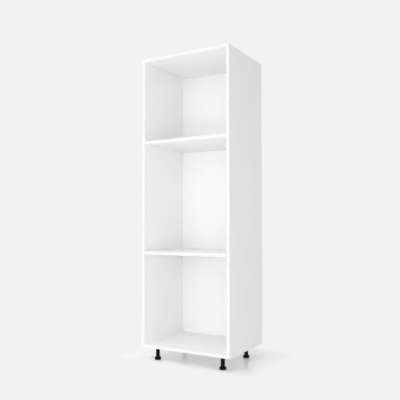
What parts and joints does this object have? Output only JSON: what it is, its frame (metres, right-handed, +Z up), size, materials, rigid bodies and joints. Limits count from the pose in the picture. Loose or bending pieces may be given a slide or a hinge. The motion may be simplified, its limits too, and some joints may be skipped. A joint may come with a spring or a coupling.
{
  "type": "tall cabinet carcass",
  "caption": "Tall open-fronted cabinet carcass in white board, with loose shelves and black screw-adjusted levelling legs.",
  "frame": {"origin": "on the floor, under the middle of the carcass", "axes": "+Z up, -Y out of the open front, +X to the right seen from the front"},
  "size_m": [0.6, 0.45, 1.84],
  "materials": {
    "white_melamine_board": "chipboard faced with white melamine, satin, raw at its hidden edges",
    "white_back_board": "thin board, white inside and out, satin",
    "white_edge_band": "white edge band, satin",
    "white_plastic": "moulded, satin",
    "zinc_alloy": "die-cast zinc alloy",
    "zinc_plated_steel": "bright zinc plating",
    "beech": "plain beech",
    "black_plastic": "moulded, satin black",
    "black_glide": "moulded, matt black"
  },
  "bodies": {
    "carcass": {"side_panel_left": "white_melamine_board", "side_panel_right": "white_melamine_board", "top_panel": "white_melamine_board", "bottom_panel": "white_melamine_board", "back_panel": "white_back_board", "side_panel_left_edge_band": "white_edge_band", "side_panel_right_edge_band": "white_edge_band", "top_panel_edge_band": "white_edge_band", "bottom_panel_edge_band": "white_edge_band", "lower_shelf_supports": "white_plastic", "upper_shelf_supports": "white_plastic", "top_cam_locks": "zinc_alloy", "bottom_cam_locks": "zinc_alloy", "top_cam_bolts": "zinc_plated_steel", "bottom_cam_bolts": "zinc_plated_steel", "back_panel_screws": "zinc_plated_steel", "leg_plate_screws": "zinc_plated_steel", "top_dowels": "beech", "bottom_dowels": "beech", "leg_plate_front_left": "black_plastic", "leg_plate_front_right": "black_plastic", "leg_plate_rear_left": "black_plastic", "leg_plate_rear_right": "black_plastic", "leg_tube_front_left": "black_plastic", "leg_tube_front_right": "black_plastic", "leg_tube_rear_left": "black_plastic", "leg_tube_rear_right": "black_plastic"},
    "lower_shelf_board": {"lower_shelf": "white_melamine_board", "lower_shelf_edge_band": "white_edge_band"},
    "upper_shelf_board": {"upper_shelf": "white_melamine_board", "upper_shelf_edge_band": "white_edge_band"},
    "glide_front_left": {"leg_glide_front_left": "black_glide"},
    "foot_front_left": {"leg_foot_front_left": "black_plastic"},
    "glide_front_right": {"leg_glide_front_right": "black_glide"},
    "foot_front_right": {"leg_foot_front_right": "black_plastic"},
    "glide_rear_left": {"leg_glide_rear_left": "black_glide"},
    "foot_rear_left": {"leg_foot_rear_left": "black_plastic"},
    "glide_rear_right": {"leg_glide_rear_right": "black_glide"},
    "foot_rear_right": {"leg_foot_rear_right": "black_plastic"}
  },
  "joints": [
    {"name": "lower_shelf_slide", "type": "slide", "parent": "carcass", "child": "lower_shelf_board", "axis": [0, -1, 0], "range_m": [0, 0.17]},
    {"name": "upper_shelf_slide", "type": "slide", "parent": "carcass", "child": "upper_shelf_board", "axis": [0, -1, 0], "range_m": [0, 0.17]},
    {"name": "foot_front_left_travel", "type": "slide", "parent": "carcass", "child": "glide_front_left", "axis": [0, 0, -1], "range_m": [0, 0.02]},
    {"name": "foot_front_left_turn", "type": "hinge", "parent": "glide_front_left", "child": "foot_front_left", "pos_m": [-0.224, -0.16, 0.003], "axis": [0, 0, -1], "range_deg": [0, 1800]},
    {"name": "foot_front_right_travel", "type": "slide", "parent": "carcass", "child": "glide_front_right", "axis": [0, 0, -1], "range_m": [0, 0.02]},
    {"name": "foot_front_right_turn", "type": "hinge", "parent": "glide_front_right", "child": "foot_front_right", "pos_m": [0.224, -0.16, 0.003], "axis": [0, 0, -1], "range_deg": [0, 1800]},
    {"name": "foot_rear_left_travel", "type": "slide", "parent": "carcass", "child": "glide_rear_left", "axis": [0, 0, -1], "range_m": [0, 0.02]},
    {"name": "foot_rear_left_turn", "type": "hinge", "parent": "glide_rear_left", "child": "foot_rear_left", "pos_m": [-0.224, 0.15, 0.003], "axis": [0, 0, -1], "range_deg": [0, 1800]},
    {"name": "foot_rear_right_travel", "type": "slide", "parent": "carcass", "child": "glide_rear_right", "axis": [0, 0, -1], "range_m": [0, 0.02]},
    {"name": "foot_rear_right_turn", "type": "hinge", "parent": "glide_rear_right", "child": "foot_rear_right", "pos_m": [0.224, 0.15, 0.003], "axis": [0, 0, -1], "range_deg": [0, 1800]}
  ],
  "couplings": [
    {"joint": "foot_front_left_travel", "follows": "foot_front_left_turn", "m_per_rad": 0.00063662},
    {"joint": "foot_front_right_travel", "follows": "foot_front_right_turn", "m_per_rad": 0.00063662},
    {"joint": "foot_rear_left_travel", "follows": "foot_rear_left_turn", "m_per_rad": 0.00063662},
    {"joint": "foot_rear_right_travel", "follows": "foot_rear_right_turn", "m_per_rad": 0.00063662}
  ]
}
